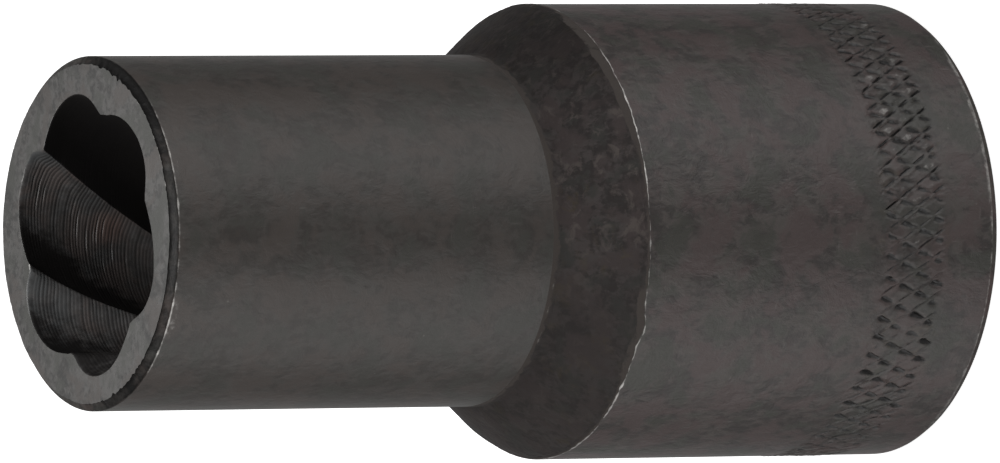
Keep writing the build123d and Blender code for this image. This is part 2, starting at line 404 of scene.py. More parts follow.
    # how bright the rim's line is by angle: partly rubbed metal, partly a painted highlight
    strong = at_angles([-180, -100, -80, -66, -60, -54, -50, -40, -30, -26, -22, -12, -6, 0, 3, 10, 20, 26, 32, 38, 41, 46, 52, 60, 70, 100],
                       [0.45, 0.5, 0.75, 0.85, 0.95, 0.95, 0.9, 1.0, 1.0, 0.6, 0.6, 0.55, 0.55, 0.42, 0.55, 0.85, 0.90, 0.95, 1.0, 1.0, 0.8, 0.9, 0.85, 0.65, 0.45, 0.45], phi)
    shine = np.clip(strong * (0.70 + 0.28 * ring_noise(n, 64, 220, 0.0) + 0.42 * ring_noise(n, 68, 40, 0.1) + 0.32 * ring_noise(n, 69, 100, 0.0)), 0, 1)
    order_phi = np.argsort(phi240)
    flat = np.interp(phi, phi240[order_phi], flat240[order_phi])
    slope = np.interp(phi, phi240[order_phi], slope240[order_phi])
    fade_in = 1 - 0.85 * flat
    mid_r = BODY_R - slope * width - 0.035
    chip = 0.02 * ring_noise(n, 66, 90, 0.2)
    prev = B.join(prev, B.ring(th, mid_r, rim + width + chip, scale=0.6 + 0.4 * fade_in, wear_and_sheen=0.04), SHOULDER)
    prev = B.join(prev, B.ring(th, mid_r + 0.008, rim + width - 0.07 + chip, scale=0.15 + 0.8 * fade_in, wear_and_sheen=0.05), SHOULDER)
    prev = B.join(prev, B.ring(th, BODY_R - slope * (width * 0.5) - 0.030, rim + width * 0.5, scale=0.85 * fade_in, wear_and_sheen=0.06 + 0.10 * np.clip(strong - 0.5, 0, 1)), SHOULDER)
    prev = B.join(prev, B.ring(th, BODY_R - 0.030 - 0.2 * bevel, rim + bevel, scale=0.2, wear_and_sheen=0.30 * shine), SHOULDER)
    prev = B.join(prev, B.ring(th, BODY_R - 0.010, rim + bevel * 0.30, wear_and_sheen=shine), BODY)
    prev = B.join(prev, B.ring(th, BODY_R, rim - bevel * 0.6, wear_and_sheen=0.5 * shine), BODY)
    prev = B.join(prev, B.ring(th, BODY_R, rim - bevel - 0.08, wear_and_sheen=0.03), BODY)
    # ---- plain body down to the knurl
    th170 = circle(170)
    for z in (21.6, 19.0, 16.0, 13.0, 10.0, 8.7):
        prev = B.join(prev, B.ring(th170, BODY_R, z), BODY)

    # ---- knurl: a lattice whose lines are the grooves of both families
    sub = 10
    p = 2 * np.pi / KNURL_N
    nc = KNURL_N * sub
    kk = 1 / KNURL_PA + 1 / KNURL_PB
    s0, s1 = KNURL_S[0] - 0.12, KNURL_S[1] + 0.12
    b0 = round((s0 * kk + KNURL_UA - KNURL_VB) * sub) / 2.0       # row number of the first row
    half_steps = int(round((s1 - s0) * kk * sub))
    warp_a = np.array([0.0, -0.02, 0.02, 0.06, 0.09, 0.11, 0.12, 0.12, 0.11, 0.06])
    warp_b = np.array([0.0, -0.02, -0.04, -0.03, -0.02, -0.01, -0.01, -0.01, -0.01, 0.0])
    rsA = RNG(71)
    gain_a = 0.70 + 0.6 * rsA.uniform(size=KNURL_N)
    gain_cell = 0.50 + 0.80 * rsA.uniform(size=(KNURL_N, KNURL_N))
    gain_pit = 0.62 + 0.55 * rsA.uniform(size=(KNURL_N, KNURL_N))
    ends_a = rsA.uniform(-0.14, 0.30, size=(KNURL_N, 2))
    ends_b = rsA.uniform(-0.18, 0.30, size=(KNURL_N, 2))
    jog = rsA.uniform(-0.055, 0.055, size=(KNURL_N, KNURL_N))
    tears = rsA.normal(size=(KNURL_N * sub, KNURL_N)).clip(-2, 2)
    lip_wear_and_glint = 0.225 + 0.145 * rsA.uniform(size=(KNURL_N, KNURL_N))      # how bright each raised lip is rubbed, partly a painted glint
    turn_a = lambda d: at_angles([-180, -60, -30, -8, 8, 24, 62, 72, 79, 88, 98], [0.6, 0.42, 0.26, 0.34, 0.75, 1.0, 0.95, 0.60, 0.26, 0.26, 0.50], d)
    turn_b = lambda d: at_angles([-180, -80, -66, -58, -44, -34, 0, 10, 24, 45, 60, 72, 79, 88, 98], [0.7, 0.80, 1.15, 1.65, 1.7, 1.35, 1.10, 0.95, 0.88, 0.88, 0.95, 0.70, 0.32, 0.32, 0.70], d)
    ang0 = np.radians(-90.0)
    rows = []
    for i in range(half_steps + 1):
        b = b0 + i / 2.0
        a = np.arange(nc) + (0.5 if i % 2 else 0.0) + (b0 % 1.0)
        U = np.round(a - b).astype(int)
        V = np.round(a + b).astype(int)
        s_plain = (2 * b / sub + KNURL_VB - KNURL_UA) / kk
        inside = smooth((s_plain - s0) / 0.4) * smooth((s1 - s_plain) / 0.4)
        u = U / sub + warp_a[np.mod(U, sub)] * inside
        v = V / sub + warp_b[np.mod(V, sub)] * inside
        # u = theta / p - s / PA - UA and v = theta / p + s / PB - VB
        s = (v - u + KNURL_VB - KNURL_UA) / kk
        theta = p * (u + KNURL_UA + s / KNURL_PA)
        cu, cv = np.floor(u + 1e-6), np.floor(v + 1e-6)
        fu, fv = u - cu, v - cv                       # place inside the cell
        ka = np.mod(np.round(u), KNURL_N).astype(int)
        kb = np.mod(np.round(v), KNURL_N).astype(int)
        ci, cj = np.mod(cu, KNURL_N).astype(int), np.mod(cv, KNURL_N).astype(int)
        fa = smooth((s - (KNURL_S[0] + ends_a[ka, 0])) / 0.40) * smooth((KNURL_S[1] + ends_a[ka, 1] - s) / 0.40)
        fb = smooth((s - (KNURL_S[0] + ends_b[kb, 0])) / 0.35) * smooth((KNURL_S[1] + ends_b[kb, 1] - s) / 0.35)
        deg = np.degrees(theta) + 90.0
        on_a, on_b = turn_a(deg), turn_b(deg)
        # first family: a steep wall above the groove, a small gentle one below, and a raised lip on the wall
        along_a = smooth((fv - 0.02) / 0.18) * smooth((0.90 - fv) / 0.32)
        du = np.where(fu > 0.55, fu - 1.0, fu)
        wall = np.interp(du, [-0.17, -0.09, -0.04, 0.0, 0.09, 0.2], [0, 0.25, 0.85, 1.0, 0.0, 0.0])
        ga = 0.094 * wall * gain_a[ka] * fa * on_a * (0.14 + 0.86 * along_a)
        along_l = smooth((fv - 0.02) / 0.18) * (1 - 0.8 * smooth((fv - 0.30) / 0.6))
        lip = np.interp(fu, [0.05, 0.12, 0.34, 0.54, 0.72], [0, 0.5, 1.0, 0.55, 0.0]) * 0.058 * gain_cell[ci, cj] * along_l * fa * on_a
        # second family: lens shaped pits between the grooves of the first, wide wall below, steep one above
        lens = smooth((0.88 - fu) / 0.16) * np.clip((fu + 0.06) / 0.66, 0, 1) ** 0.8
        joined = smooth((-33 - deg) / 9.0) * smooth((deg + 85) / 15.0)      # low on the near side the pits run into each other
        lens = lens + 0.85 * joined * (1 - lens) * (gain_pit[ci, kb] > 0.70)
        dv = np.where(fv > 0.5, fv - 1.0, fv) + jog[ci, kb]
        wide = 0.34 + 0.72 * lens
        pit_v = np.interp(dv / wide, [-0.30, -0.20, -0.10, 0.0, 0.09], [0, 0.40, 0.80, 1.0, 0.0])
        gb = 0.125 * pit_v * gain_pit[ci, kb] * fb * on_b * (0.06 + 0.94 * lens)
        lip_b = np.interp(dv, [0.0, 0.08, 0.16, 0.30], [0, 1.0, 0.5, 0.0]) * 0.022 * lens * fb * gain_pit[ci, kb] * on_b * (0.3 + 0.7 * smooth((-12 - deg) / 10.0) + 3.0 * joined)
        cut_ = np.maximum(ga, gb)
        lips = np.maximum(lip, lip_b) * np.clip(1 - cut_ / 0.02, 0, 1) * inside
        tear = tears[np.mod(U, KNURL_N * sub), cj] * (0.6 + 0.4 * on_a) * 0.018 + rsA.normal(size=nc) * 0.0085
        r = BODY_R - cut_ + lips + tear * inside
        dark = np.clip(np.maximum(ga / 0.056, gb / 0.082), 0, 1)
        fleck = (rsA.uniform(size=nc) > 0.988) * np.clip(cut_ / 0.03, 0, 1) * (1 - np.clip(cut_ / 0.09, 0, 1))
        # bare metal on the raised lips, partly a painted glint, brighter low on the near side; a few bright flecks in
        # the groove walls
        tip = np.clip(lips / 0.027 - 0.15, 0, 1) * lip_wear_and_glint[ci, cj] * (1 + 1.1 * joined) + 0.6 * fleck
        ring = B.ring(theta + ang0 + np.pi / 2, r, LENGTH - s, wear_and_sheen=tip, pit=dark)
        rows.append(ring)
    B.join(prev, rows[0], KNURL)
    ids = [r[0] for r in rows]
    for i in range(1, half_steps):
        top, mid, bot = ids[i - 1], ids[i], ids[i + 1]
        if i % 2:       # middle row is shifted by half a step: left of column k is k - 1
            left, right = np.roll(mid, 1), mid
        else:
            left, right = mid, np.roll(mid, -1)
        for k in range(nc):
            B.faces.append((top[k], left[k], bot[k], right[k]))
            B.mats.append(KNURL)
    first, second = ids[0], ids[1]
    for k in range(nc):
        B.faces.append((first[k], second[k], first[(k + 1) % nc]))
        B.mats.append(KNURL)
    last, before = ids[half_steps], ids[half_steps - 1]
    for k in range(nc):
        if half_steps % 2:   # last row shifted: between k and k + 1 sits k + 1 of the row before
            B.faces.append((last[k], last[(k + 1) % nc], before[(k + 1) % nc]))
        else:
            B.faces.append((last[k], last[(k + 1) % nc], before[k]))
        B.mats.append(KNURL)
    prev = rows[-1]
    prev = B.join(prev, B.ring(prev[1], BODY_R, LENGTH - (s1 + 0.25)), KNURL)
    prev = B.join(prev, B.ring(th170, BODY_R, 2.6), BODY)
    prev = B.join(prev, B.ring(th170, BODY_R, 1.2), BODY)
    # ---- drive end chamfer, with a rubbed light line above it and a broader painted highlight at some angles round the end
    n = 340
    th = circle(n)
    line = (0.5 + 0.5 * ring_noise(n, 81, 70, 0.2)) ** 1.4
    # painted highlight: a broad bright band above the chamfer, strongest at some angles round the end
    glow = at_angles([-180, -75, -56, -42, -25, 0, 12, 38, 55, 80], [0.3, 0.4, 1.0, 0.6, 0.3, 0.45, 0.9, 1.0, 0.5, 0.3], ((np.degrees(th) + 270.0) % 360.0) - 180.0)
    glow = glow * (0.75 + 0.35 * ring_noise(n, 82, 80, 0.1))
    prev = B.join(prev, B.ring(th, BODY_R, END_Z + 0.42, wear_and_sheen=0.10 * glow), BODY)
    prev = B.join(prev, B.ring(th, BODY_R, END_Z + 0.16, wear_and_sheen=0.14 + 0.30 * glow), BODY)
    prev = B.join(prev, B.ring(th, BODY_R - 0.004, END_Z + 0.02, wear_and_sheen=0.24 + 0.24 * line + 0.09 * glow), BODY)
    prev = B.join(prev, B.ring(th, BODY_R - 0.030, END_Z - 0.050, wear_and_sheen=0.08, scale=1.0), BODY)
    prev = B.join(prev, B.ring(th, BODY_R - 0.070, END_Z - 0.115, wear_and_sheen=0.08), BODY)
    prev = B.join(prev, B.ring(th, BODY_R - 0.115, END_Z - 0.19, wear_and_sheen=0.10, scale=1.0), BODY)
    prev = B.join(prev, B.ring(th, BODY_R - END_R + 0.04, 0.065, wear_and_sheen=0.20 + 0.16 * line, scale=1.0), BODY)
    prev = B.join(prev, B.ring(th, BODY_R - END_R - 0.03, 0.0, wear_and_sheen=0.2, scale=1.0), FACE)
    prev = B.join(prev, B.ring(circle(184), 10.9, 0.0), FACE)

    # ---- broached square: ring of columns round a rounded square
    half = SQUARE / 2
    flat = half - CORNER
    block = 2.8
    ys = np.concatenate([[-flat, -4.6, -3.7], np.linspace(-block, block, 13), [3.7, 4.6, flat]])
    arc = np.radians(np.linspace(0, 90, 6)[1:-1])
    side = [(half, y) for y in ys] + [(flat + CORNER * math.cos(t), flat + CORNER * math.sin(t)) for t in arc]
    pts = []
    for k in range(4):
        c, s_ = math.cos(k * math.pi / 2), math.sin(k * math.pi / 2)
        pts += [(x * c - y * s_, x * s_ + y * c) for x, y in side]
    pts = np.array(pts)
    sq_ang = np.unwrap(np.arctan2(pts[:, 1], pts[:, 0]))
    sq_r = np.hypot(pts[:, 0], pts[:, 1])
    zstar = (LEAD_R - sq_r) / LEAD_SLOPE
    nsq = len(pts)
    # end face and the guide countersink
    prev = B.join(prev, B.ring(sq_ang, LEAD_R + 0.05, 0.0, wear_and_sheen=0.15), FACE)
    prev = B.join(prev, B.ring(sq_ang, LEAD_R - 0.03, 0.035, wear_and_sheen=0.15), INNER)
    for t in (0.3, 0.65):
        r = LEAD_R * (1 - t) + sq_r * t
        prev = B.join(prev, B.ring(sq_ang, r, (LEAD_R - r) / LEAD_SLOPE), INNER)
    prev = B.join(prev, B.ring(sq_ang, sq_r + 0.03, zstar - 0.02, wear_and_sheen=0.2), INNER)
    prev = B.join(prev, B.ring(sq_ang, sq_r, zstar + 0.03, wear_and_sheen=0.1), INNER)
    for t in (0.35, 0.7):
        prev = B.join(prev, B.ring(sq_ang, sq_r, zstar + 0.03 + (2.9 - zstar) * t), INNER)
    zs = np.concatenate([[3.4, 4.4], np.linspace(DETENT_Z - block, DETENT_Z + block, 13), [12.2, 13.6, 15.0]])
    grid = []
    for z in zs:
        ring = B.ring(sq_ang, sq_r, z)
        grid.append(ring[0])
        if len(grid) == 1:
            B.join(prev, ring, INNER)
    first_row, per = 2, len(side)
    cols_in = list(range(3, 15))              # quads from column 3 to 15 of each side lie in the block
    for i in range(len(zs) - 1):
        for k in range(nsq):
            in_block = first_row <= i < first_row + 12 and (k % per) in cols_in
            if not in_block:
                k2 = (k + 1) % nsq
                B.faces.append((grid[i][k], grid[i + 1][k], grid[i + 1][k2], grid[i][k2]))
                B.mats.append(INNER)
    rim_r = math.sqrt(DETENT_R ** 2 - (half - DETENT_X) ** 2)
    polar = math.asin(rim_r / DETENT_R)
    for k in range(4):
        c, s_ = math.cos(k * math.pi / 2), math.sin(k * math.pi / 2)
        base = k * per
        loop = []     # anticlockwise as (y, z) in the side's own frame, y to the right
        r0, r1, c0, c1 = first_row, first_row + 12, 3, 15
        for cc in range(c0, c1):
            loop.append((r0, cc))
        for rr in range(r0, r1):
            loop.append((rr, c1))
        for cc in range(c1, c0, -1):
            loop.append((r1, cc))
        for rr in range(r1, r0, -1):
            loop.append((rr, c0))
        ids_loop = np.array([grid[rr][base + cc] for rr, cc in loop])
        yz = np.array([(ys[cc], zs[rr] - DETENT_Z) for rr, cc in loop])
        psi = np.arctan2(yz[:, 1], yz[:, 0])
        dist = np.hypot(yz[:, 0], yz[:, 1])

        def add(x, rad):
            y = rad * np.cos(psi)
            z = rad * np.sin(psi) + DETENT_Z
            co = np.stack([x * c - y * s_, x * s_ + y * c, z], 1)
            B.co.append(co)
            m = len(psi)
            B.attr["wear_and_sheen"].append(np.zeros(m))
            B.attr["pit"].append(np.zeros(m))
            B.attr["scale"].append(np.zeros(m))
            idx = np.arange(B.count, B.count + m)
            B.count += m
            return idx

        def strip(outer, inner):
            m = len(outer)
            for q in range(m):
                q2 = (q + 1) % m
                B.faces.append((outer[q2], outer[q], inner[q], inner[q2]))
                B.mats.append(INNER)

        ring0 = add(np.full(len(psi), half), (dist + rim_r) / 2 + 0.05)
        strip(ids_loop, ring0)
        ring1 = add(np.full(len(psi), half), np.full(len(psi), rim_r + 0.05))
        strip(ring0, ring1)
        last_ring = ring1
        for t in (0.985, 0.86, 0.70, 0.52, 0.34, 0.16):
            a_ = polar * t
            nxt = add(np.full(len(psi), DETENT_X + DETENT_R * math.cos(a_)), np.full(len(psi), DETENT_R * math.sin(a_)))
            strip(last_ring, nxt)
            last_ring = nxt
        B.co.append(np.array([[(DETENT_X + DETENT_R) * c, (DETENT_X + DETENT_R) * s_, DETENT_Z]]))
        B.attr["wear_and_sheen"].append(np.zeros(1))
        B.attr["pit"].append(np.zeros(1))
        B.attr["scale"].append(np.zeros(1))
        tip_id = B.count
        B.count += 1
        m = len(psi)
        for q in range(m):
            B.faces.append((last_ring[(q + 1) % m], last_ring[q], tip_id))
            B.mats.append(INNER)
    prev = (grid[-1], sq_ang)
    # foot of the square, drilled relief, cone and neck
    prev = B.join(prev, B.ring(sq_ang, sq_r, SQUARE_Z), INNER)
    prev = B.join(prev, B.ring(sq_ang, PILOT_R + 0.0, SQUARE_Z), INNER)
    prev = B.join(prev, B.ring(sq_ang, PILOT_R, SQUARE_Z + 0.06), INNER)
    prev = B.join(prev, B.ring(sq_ang, PILOT_R, PILOT_Z), INNER)
    prev = B.join(prev, B.ring(sq_ang, (PILOT_R + NECK_R) / 2, (PILOT_Z + PILOT_TOP) / 2), INNER)
    prev = B.join(prev, B.ring(sq_ang, NECK_R, PILOT_TOP), INNER)
    for z in (22.0, 26.0, 30.0, 33.1):
        prev = B.join(prev, B.ring(sq_ang, NECK_R, z), INNER)
    turn = np.radians(RIDGE_START + LEAD_DEG * FLUTE_DEPTH - 90.0 + cols)
    prev = B.join(prev, B.ring(turn, NECK_R, LENGTH - FLUTE_DEPTH, scale=1.0), BORE)
    B.quads(prev, foot, BORE)
    return B


def settle(co):
    """The nose stands a few hundredths of a millimetre off the axis, and the body is a hair fuller towards its end."""
    z = co[:, 2]
    grow = np.interp(z, [0, 12, 20.7, 22.5, 22.9, 23.3, 23.8, 24.3, 26.2, 50.4],
                     [0.0035, 0.0012, -0.0017, -0.0017, 0.0034, 0.0060, 0.0012, -0.0012, 0.0018, 0.0032])
    out = co * np.stack([1 + grow, 1 + grow, np.ones(len(z))], 1)
    out[:, 0] += 0.09 * smooth((z - 22.5) / 3.7)
    return out


def make_object(B, name, materials):
    co = settle(np.concatenate(B.co)) * 0.001
    mesh = bpy.data.meshes.new(name)
    mesh.from_pydata(co.tolist(), [], [tuple(int(i) for i in f) for f in B.faces])
    mesh.polygons.foreach_set("material_index", np.array(B.mats, np.int32))
    for key in ("wear_and_sheen", "pit", "scale"):
        values = np.clip(np.concatenate(B.attr[key]), 0, 1).astype(np.float32)
        mesh.attributes.new(key, "FLOAT", "POINT").data.foreach_set("value", values)
    for m in materials:
        mesh.materials.append(m)
    mesh.polygons.foreach_set("use_smooth", np.ones(len(mesh.polygons), bool))
    mesh.validate()
    mesh.update()
    mesh.set_sharp_from_angle(angle=math.radians(38))
    obj = bpy.data.objects.new(name, mesh)
    bpy.context.scene.collection.objects.link(obj)
    return obj


# ------------------------------------------------------------------ materials
class Nodes:
    """Short helpers for a node tree."""

    def __init__(self, material):
        material.use_nodes = True
        self.tree = material.node_tree
        self.tree.nodes.clear()

    def add(self, kind, **values):
        node = self.tree.nodes.new(kind)
        for key, value in values.items():
            setattr(node, key, value)
        return node

    def link(self, a, b):
        self.tree.links.new(a, b)

    def put(self, socket, value):
        if hasattr(value, "is_output"):
            self.link(value, socket)
        else:
            socket.default_value = value

    def math(self, op, a, b=0.0, clamp=False):
        node = self.add("ShaderNodeMath", operation=op, use_clamp=clamp)
        self.put(node.inputs[0], a)
        self.put(node.inputs[1], b)
        return node.outputs[0]

    def ramp(self, value, a, b, to_a=0.0, to_b=1.0):
        node = self.add("ShaderNodeMapRange", interpolation_type="SMOOTHSTEP")
        self.put(node.inputs["Value"], value)
        node.inputs["From Min"].default_value = a
        node.inputs["From Max"].default_value = b
        node.inputs["To Min"].default_value = to_a
        node.inputs["To Max"].default_value = to_b
        return node.outputs["Result"]

    def noise(self, coords, scale, detail=3.0, rough=0.55, distortion=0.0):
        node = self.add("ShaderNodeTexNoise")
        self.put(node.inputs["Vector"], coords)
        node.inputs["Scale"].default_value = scale
        node.inputs["Detail"].default_value = detail
        node.inputs["Roughness"].default_value = rough
        node.inputs["Distortion"].default_value = distortion
        return node.outputs["Fac"]

    def voronoi(self, coords, scale, feature="F1"):
        node = self.add("ShaderNodeTexVoronoi", feature=feature)
        self.put(node.inputs["Vector"], coords)
        node.inputs["Scale"].default_value = scale
        return node

    def mix(self, fac, a, b):
        node = self.add("ShaderNodeMix", data_type="RGBA")
        self.put(node.inputs[0], fac)
        self.put(node.inputs[6], a)
        self.put(node.inputs[7], b)
        return node.outputs[2]

    def scaled(self, coords, xyz, shift=(0, 0, 0)):
        node = self.add("ShaderNodeMapping")
        self.put(node.inputs["Vector"], coords)
        node.inputs["Scale"].default_value = xyz
        node.inputs["Location"].default_value = shift
        return node.outputs["Vector"]

    def attribute(self, name):
        node = self.add("ShaderNodeAttribute", attribute_type="GEOMETRY", attribute_name=name)
        return node.outputs["Fac"]


def oxide(name, dark, light, brown, grey, rough=0.42, level=0.5, contrast=1.0, relief=1.0, specks=1.0, marks=1.0,
          pit_dark=0.0, rust=0.0, scuff=0.0, wear_gain=1.0, deep=0.0, over=None, over_noise=2.2,
          tight=0.06, stain_at=None, over_edge=0.20, lower=None, pit_edge=0.0):
    """Black oxide finish on steel: clouded dark grey with brownish patches, fine grain, scratches and rubbed bare
    edges; the bare colour also paints highlights, and the second colour and the darkening with depth can paint shade.
    """
    m = bpy.data.materials.new(name)
    N = Nodes(m)
    coords = N.add("ShaderNodeTexCoord").outputs["Object"]
    big = N.noise(coords, 230.0, 3.0, 0.55)
    mid = N.noise(N.scaled(coords, (1, 1, 0.8), (0.31, 0.17, 0.05)), 760.0, 5.0, 0.66, 0.4)
    small = N.noise(N.scaled(coords, (1, 1, 0.55), (0.11, 0.57, 0.25)), 2600.0, 3.0, 0.6, 0.3)
    fine = N.noise(coords, 6200.0, 3.0, 0.6)
    hue = N.noise(N.scaled(coords, (1, 1, 1), (0.7, 0.2, 0.4)), 420.0, 4.0, 0.6, 0.3)
    # clouds of lighter and darker oxide
    cloud = N.math("ADD", N.math("MULTIPLY", big, 0.20), N.math("MULTIPLY", mid, 0.42))
    cloud = N.math("ADD", cloud, N.math("MULTIPLY", small, 0.38))
    base = N.mix(N.ramp(cloud, 0.5 - tight, 0.5 + tight), dark, light)
    base = N.mix(N.ramp(hue, 0.48, 0.60, 0.0, 0.9), base, brown)
    base = N.mix(N.ramp(hue, 0.38, 0.48, 0.9, 0.0), base, grey)
    # tool marks round the axis and short rubbed streaks along it
    rings = N.noise(N.scaled(coords, (40, 40, 9000)), 1.0, 2.0, 0.6)
    streak_zone = N.noise(coords, 260.0, 2.0, 0.5)
    streaks = N.noise(N.scaled(coords, (6200, 6200, 900)), 1.0, 2.0, 0.5)
    streak = N.math("MULTIPLY", N.ramp(streaks, 0.64, 0.80), N.ramp(streak_zone, 0.50, 0.62))
    cross = N.noise(N.scaled(coords, (900, 900, 5200), (3.0, 1.0, 2.0)), 1.0, 2.0, 0.5)
    cross_zone = N.noise(N.scaled(coords, (1, 1, 1), (0.2, 0.9, 0.6)), 330.0, 2.0, 0.5)
    streak2 = N.math("MULTIPLY", N.ramp(cross, 0.66, 0.82), N.ramp(cross_zone, 0.50, 0.60))
    rub = N.math("MULTIPLY", N.math("ADD", streak, streak2, clamp=True), 0.30 * marks)
    base = N.mix(rub, base, (0.15, 0.14, 0.13, 1))
    # tiny specks where the finish is through
    vor = N.voronoi(coords, 900.0)
    dot = N.ramp(vor.outputs["Distance"], 0.035, 0.075, 1.0, 0.0)
    pick = N.noise(N.scaled(coords, (1, 1, 1), (0.1, 0.4, 0.8)), 620.0, 1.0, 0.5)
    speck = N.math("MULTIPLY", dot, N.ramp(pick, 0.60, 0.70, 0.0, 0.35 * specks))
    base = N.mix(speck, base, (0.22, 0.21, 0.19, 1))
    if rust > 0:
        stain = N.noise(N.scaled(coords, (1, 1, 1), (0.5, 0.5, 0.1)), 1150.0, 4.0, 0.62, 0.8)
        zone = N.noise(N.scaled(coords, (1, 1, 1), (0.15, 0.65, 0.35)), 240.0, 2.0, 0.5)
        amount = N.math("MULTIPLY", N.ramp(stain, 0.50, 0.68), N.ramp(zone, 0.44, 0.60, 0.0, rust))
        base = N.mix(amount, base, (0.062, 0.049, 0.027, 1))
    if scuff > 0:
        # smudges, more of them on the upper side
        patch = N.noise(N.scaled(coords, (1, 1, 1), (0.85, 0.05, 0.45)), 1150.0, 5.0, 0.64, 0.5)
        xyz = N.add("ShaderNodeSeparateXYZ")
        N.link(coords, xyz.inputs[0])
        amount = N.math("MULTIPLY", N.ramp(patch, 0.53, 0.66, 0.0, scuff), N.ramp(xyz.outputs[0], -0.004, 0.001, 0.45, 1.0))
        base = N.mix(amount, base, (0.082, 0.070, 0.064, 1))
    if lower:
        # a more even grey on the lower side
        xyz2 = N.add("ShaderNodeSeparateXYZ")
        N.link(coords, xyz2.inputs[0])
        base = N.mix(N.ramp(xyz2.outputs[0], -0.0055, 0.0005, 0.45, 0.0), base, lower)
        base = N.mix(N.ramp(xyz2.outputs[0], 0.0060, 0.0108, 0.0, 0.62), base, (0.0135, 0.0120, 0.0115, 1))
    if over:
        # another finish where the surface changes, with an uneven line between the two; in the bore and on the mouth
        # chamfer this second colour is painted shade instead
        line = N.math("ADD", N.attribute("scale"), N.math("MULTIPLY", N.math("SUBTRACT", mid, 0.5), over_noise))
        line = N.math("ADD", line, N.math("MULTIPLY", N.math("SUBTRACT", small, 0.5), over_noise * 0.6))
        base = N.mix(N.ramp(line, 0.5 - over_edge, 0.5 + over_edge), over, base)
    if stain_at:
        away = N.add("ShaderNodeVectorMath", operation="DISTANCE")
        N.link(coords, away.inputs[0])
        away.inputs[1].default_value = stain_at
        base = N.mix(N.math("MULTIPLY", N.ramp(away.outputs["Value"], 0.0003, 0.0015, 0.50, 0.0), N.ramp(mid, 0.38, 0.55)), base, (0.062, 0.034, 0.026, 1))
    if pit_dark > 0:
        pit = N.attribute("pit")
        if pit_edge > 0:
            # a ragged, clear border to the deeper parts
            grain = N.math("ADD", N.math("MULTIPLY", small, 0.5), N.math("MULTIPLY", fine, 0.5))
            pit = N.math("ADD", pit, N.math("MULTIPLY", N.math("SUBTRACT", grain, 0.5), pit_edge))
            pit = N.ramp(pit, 0.30, 0.66)
        base = N.mix(N.math("MULTIPLY", pit, pit_dark), base, (0.005, 0.0045, 0.0045, 1))
    if deep > 0:
        # painted shade: the colour darkens further down the hole, standing in for the light that fades with depth
        z = N.add("ShaderNodeSeparateXYZ")
        N.link(coords, z.inputs[0])
        base = N.mix(N.ramp(z.outputs[2], 0.0380, 0.0500, deep, 0.0), base, (0.006, 0.0052, 0.005, 1))
    # lighter bare metal on rubbed edges, partly painted highlights
    chips = N.noise(N.scaled(coords, (1, 1, 1), (0.9, 0.3, 0.2)), 3000.0, 4.0, 0.65)
    wear_and_sheen = N.attribute("wear_and_sheen")
    worn_and_sheen = N.math("ADD", N.math("MULTIPLY", wear_and_sheen, 1.25 * wear_gain), N.math("MULTIPLY", chips, 0.60))
    worn_and_sheen = N.ramp(worn_and_sheen, 0.62, 1.15)
    worn_and_sheen = N.math("MULTIPLY", worn_and_sheen, N.ramp(wear_and_sheen, 0.02, 0.12))
    base = N.mix(worn_and_sheen, base, (0.46, 0.445, 0.425, 1))
    shader = N.add("ShaderNodeBsdfPrincipled")
    N.link(base, shader.inputs["Base Color"])
    r = N.math("ADD", N.math("MULTIPLY", mid, 0.20 * contrast), rough - 0.10 * contrast)
    r = N.math("ADD", r, N.math("MULTIPLY", worn_and_sheen, -0.06), clamp=True)
    N.link(r, shader.inputs["Roughness"])
    N.link(N.math("MULTIPLY", worn_and_sheen, 0.75, clamp=True), shader.inputs["Metallic"])
    shader.inputs["IOR"].default_value = 1.5
    shader.inputs["Specular IOR Level"].default_value = level
    # relief: clouds, grain and tool marks
    height = N.math("ADD", N.math("MULTIPLY", mid, 1.5), N.math("MULTIPLY", small, 0.42))
    height = N.math("ADD", height, N.math("MULTIPLY", fine, 0.14))
    height = N.math("ADD", height, N.math("MULTIPLY", rings, 0.07))
    bump = N.add("ShaderNodeBump")
    bump.inputs["Strength"].default_value = 0.6
    bump.inputs["Distance"].default_value = 0.000032 * relief
    N.link(height, bump.inputs["Height"])
    N.link(bump.outputs["Normal"], shader.inputs["Normal"])
    out = N.add("ShaderNodeOutputMaterial")
    N.link(shader.outputs[0], out.inputs["Surface"])
    return m


